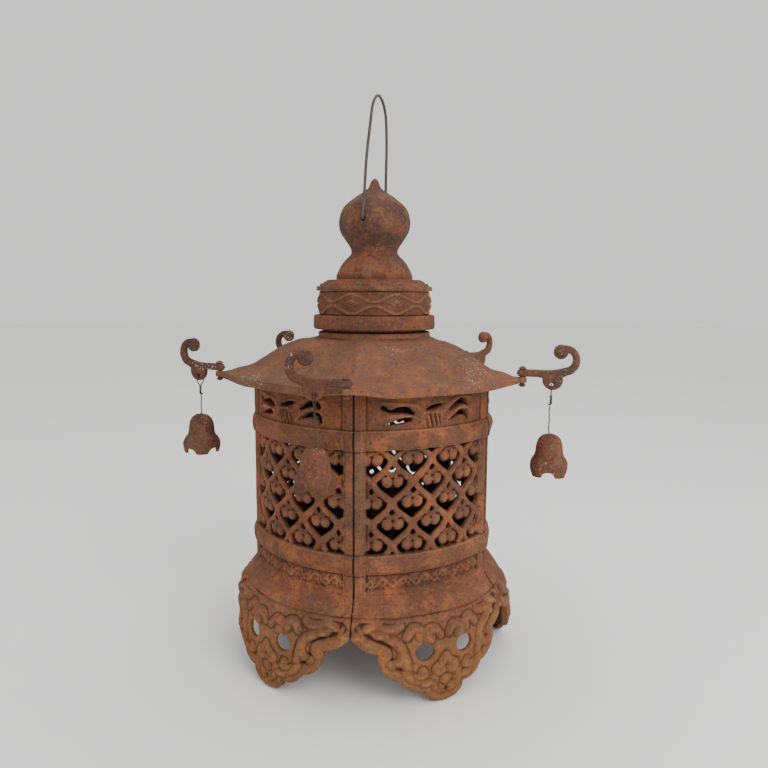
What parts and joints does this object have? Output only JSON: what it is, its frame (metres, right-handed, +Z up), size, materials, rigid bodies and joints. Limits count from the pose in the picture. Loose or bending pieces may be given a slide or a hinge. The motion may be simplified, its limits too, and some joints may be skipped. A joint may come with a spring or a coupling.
{
  "type": "hanging lantern",
  "caption": "Rusted cast-iron hanging lantern: pierced heart-lattice panels, lobed feet, ogee roof, onion finial, wire bail and scroll brackets with small bells.",
  "frame": {"origin": "on the central axis, in the plane that the foot tips stand on", "axes": "+Z up along the central axis; -Y towards the front post, +X to the right seen from the front"},
  "size_m": [0.2941, 0.2539, 0.4144],
  "materials": {
    "panel_iron": "rough rusted casting",
    "roof_iron": "rough rusted casting",
    "collar_iron": "rough rusted casting",
    "bracket_iron": "rough rusted casting",
    "bell_iron": "rough rusted casting",
    "inner_iron": "rough rusted casting",
    "bail_steel": "dull weathered steel",
    "wire_steel": "dull weathered steel",
    "fastener_steel": "dull weathered steel"
  },
  "bodies": {
    "lantern": {"panel_front_right": "panel_iron", "panel_right": "panel_iron", "panel_rear": "panel_iron", "panel_left": "panel_iron", "panel_front_left": "panel_iron", "door_hinge_pins": "fastener_steel", "latch_rivet": "fastener_steel", "fire_pan": "inner_iron", "tie_rods": "fastener_steel", "tie_rod_nuts": "fastener_steel", "candle_cup": "inner_iron", "pricket": "fastener_steel", "roof": "roof_iron", "neck_ring": "collar_iron", "relief_band": "collar_iron", "stepped_cap": "collar_iron", "finial_base": "collar_iron", "finial_jewel": "collar_iron", "stud_bridge": "inner_iron", "stud_nut": "fastener_steel", "finial_stud": "fastener_steel", "bracket_rivets": "fastener_steel"},
    "door_leaf": {"door": "panel_iron"},
    "latch": {"door_latch": "fastener_steel"},
    "handle": {"bail": "bail_steel"},
    "arm_1": {"bracket_1": "bracket_iron"},
    "hanger_1": {"bell_wire_1": "wire_steel"},
    "chime_1": {"bell_1": "bell_iron"},
    "arm_2": {"bracket_2": "bracket_iron"},
    "hanger_2": {"bell_wire_2": "wire_steel"},
    "chime_2": {"bell_2": "bell_iron"},
    "arm_3": {"bracket_3": "bracket_iron"},
    "hanger_3": {"bell_wire_3": "wire_steel"},
    "chime_3": {"bell_3": "bell_iron"},
    "arm_4": {"bracket_4": "bracket_iron"},
    "hanger_4": {"bell_wire_4": "wire_steel"},
    "chime_4": {"bell_4": "bell_iron"},
    "arm_5": {"bracket_5": "bracket_iron"},
    "hanger_5": {"bell_wire_5": "wire_steel"},
    "chime_5": {"bell_5": "bell_iron"}
  },
  "joints": [
    {"name": "bail_swing", "type": "hinge", "parent": "lantern", "child": "handle", "pos_m": [0, 0, 0.324], "axis": [-0.1633, -0.9866, 0], "range_deg": [-134, 138]},
    {"name": "door_swing", "type": "hinge", "parent": "lantern", "child": "door_leaf", "pos_m": [0.04088, 0.0747, 0.134], "axis": [0, 0, -1], "range_deg": [0, 70]},
    {"name": "latch_turn", "type": "hinge", "parent": "lantern", "child": "latch", "pos_m": [-0.04987, 0.07502, 0.134], "axis": [-0.5878, 0.809, 0], "range_deg": [0, 90]},
    {"name": "bracket_1_swivel", "type": "hinge", "parent": "lantern", "child": "arm_1", "pos_m": [0, -0.115, 0.2146], "axis": [0, 0, 1], "range_deg": [-8, 192]},
    {"name": "wire_1_swing", "type": "hinge", "parent": "arm_1", "child": "hanger_1", "pos_m": [-0.01989, -0.11431, 0.2096], "axis": [-0.0349, -0.9994, 0], "range_deg": [-20, 20]},
    {"name": "bell_1_swing", "type": "hinge", "parent": "hanger_1", "child": "chime_1", "pos_m": [-0.01989, -0.11431, 0.1763], "axis": [-0.9994, 0.0349, 0], "range_deg": [-18, 18]},
    {"name": "bracket_2_swivel", "type": "hinge", "parent": "lantern", "child": "arm_2", "pos_m": [0.10937, -0.03554, 0.2146], "axis": [0, 0, 1], "range_deg": [-111, 89]},
    {"name": "wire_2_swing", "type": "hinge", "parent": "arm_2", "child": "hanger_2", "pos_m": [0.12912, -0.03796, 0.2096], "axis": [0.1219, 0.9925, 0], "range_deg": [-20, 20]},
    {"name": "bell_2_swing", "type": "hinge", "parent": "hanger_2", "child": "chime_2", "pos_m": [0.12912, -0.03796, 0.1743], "axis": [0.9925, -0.1219, 0], "range_deg": [-18, 18]},
    {"name": "bracket_3_swivel", "type": "hinge", "parent": "lantern", "child": "arm_3", "pos_m": [0.0676, 0.09304, 0.2146], "axis": [0, 0, 1], "range_deg": [-101, 30]},
    {"name": "wire_3_swing", "type": "hinge", "parent": "arm_3", "child": "hanger_3", "pos_m": [0.07901, 0.10934, 0.2096], "axis": [-0.8192, 0.5736, 0], "range_deg": [-20, 20]},
    {"name": "bell_3_swing", "type": "hinge", "parent": "hanger_3", "child": "chime_3", "pos_m": [0.07901, 0.10934, 0.1788], "axis": [0.5736, 0.8192, 0], "range_deg": [-18, 18]},
    {"name": "bracket_4_swivel", "type": "hinge", "parent": "lantern", "child": "arm_4", "pos_m": [-0.0676, 0.09304, 0.2146], "axis": [0, 0, 1], "range_deg": [-95, 56]},
    {"name": "wire_4_swing", "type": "hinge", "parent": "arm_4", "child": "hanger_4", "pos_m": [-0.08719, 0.09649, 0.2096], "axis": [-0.1736, -0.9848, 0], "range_deg": [-20, 20]},
    {"name": "bell_4_swing", "type": "hinge", "parent": "hanger_4", "child": "chime_4", "pos_m": [-0.08719, 0.09649, 0.1788], "axis": [-0.9848, 0.1736, 0], "range_deg": [-18, 18]},
    {"name": "bracket_5_swivel", "type": "hinge", "parent": "lantern", "child": "arm_5", "pos_m": [-0.10937, -0.03554, 0.2146], "axis": [0, 0, 1], "range_deg": [-59, 141]},
    {"name": "wire_5_swing", "type": "hinge", "parent": "arm_5", "child": "hanger_5", "pos_m": [-0.12769, -0.02776, 0.2096], "axis": [-0.3907, -0.9205, 0], "range_deg": [-20, 20]},
    {"name": "bell_5_swing", "type": "hinge", "parent": "hanger_5", "child": "chime_5", "pos_m": [-0.12769, -0.02776, 0.1798], "axis": [-0.9205, 0.3907, 0], "range_deg": [-18, 18]}
  ]
}
